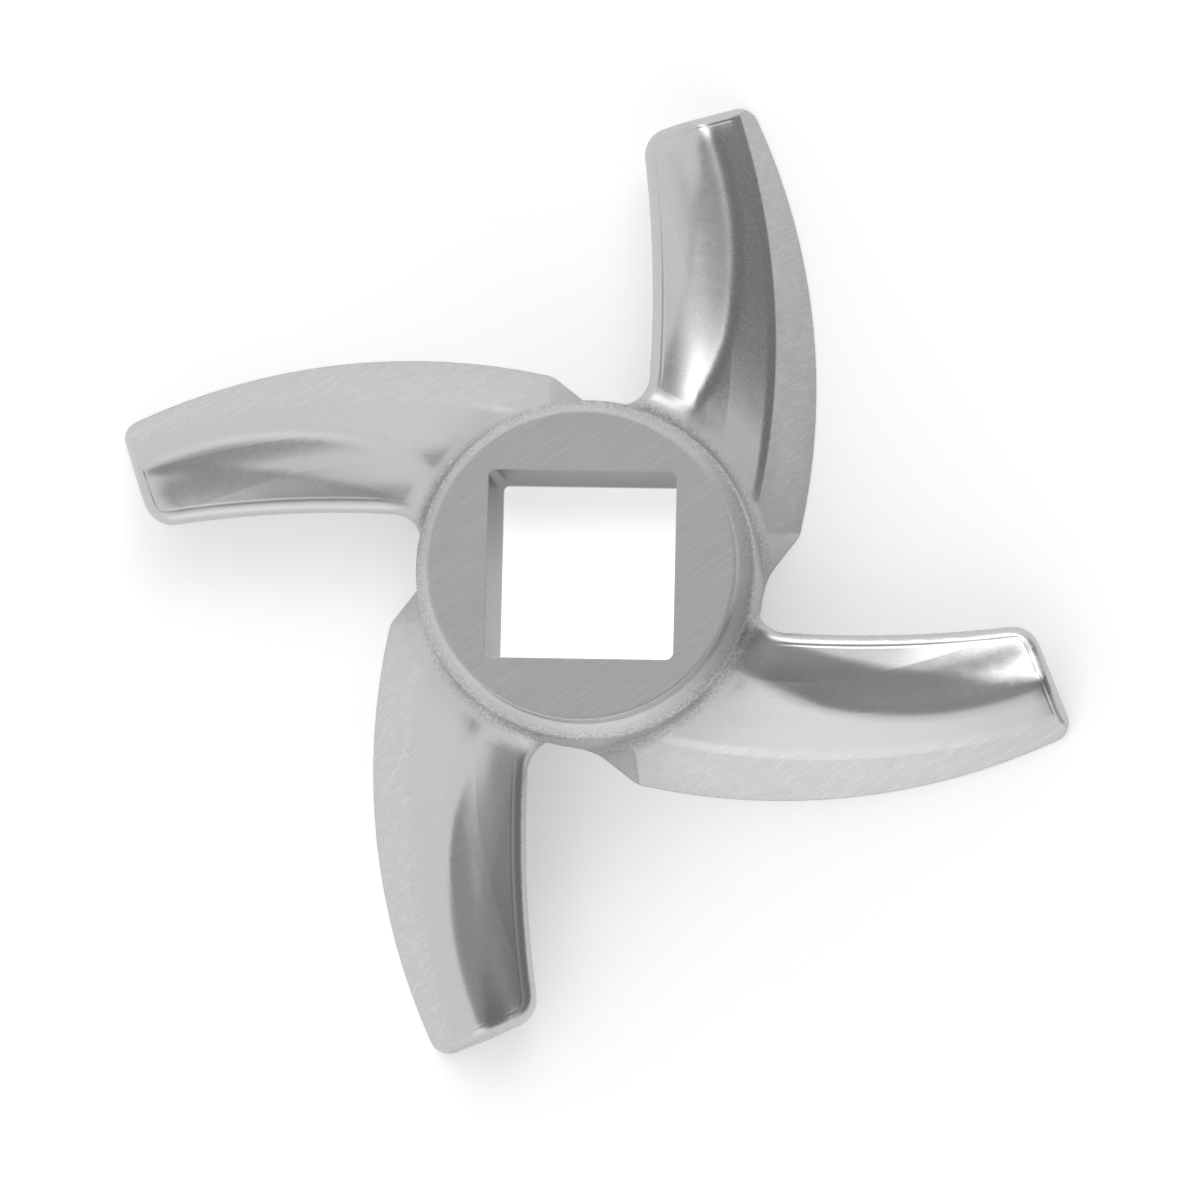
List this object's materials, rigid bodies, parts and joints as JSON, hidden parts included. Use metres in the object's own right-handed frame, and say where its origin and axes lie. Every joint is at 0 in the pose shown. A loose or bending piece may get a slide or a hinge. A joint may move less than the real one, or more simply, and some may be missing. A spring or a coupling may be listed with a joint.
{
  "type": "meat grinder knife",
  "caption": "Cross-shaped meat grinder knife: a square-bored hub with a raised back boss and curved, bevelled, swept arms, cast and ground as one piece.",
  "frame": {"origin": "on the drive axis, in the cutting plane that the ground lands share", "axes": "+Z along the drive axis, from the cutting plane towards the hub's back boss; +Y along one arm, and the square bore's sides lie along X and Y"},
  "size_m": [0.0948, 0.0948, 0.017],
  "materials": {
    "knife_steel": "cast stainless steel, blasted, with ground bevels, ground cutting lands and a turned hub back"
  },
  "bodies": {
    "root": {"grinder_knife": "knife_steel"}
  },
  "joints": []
}
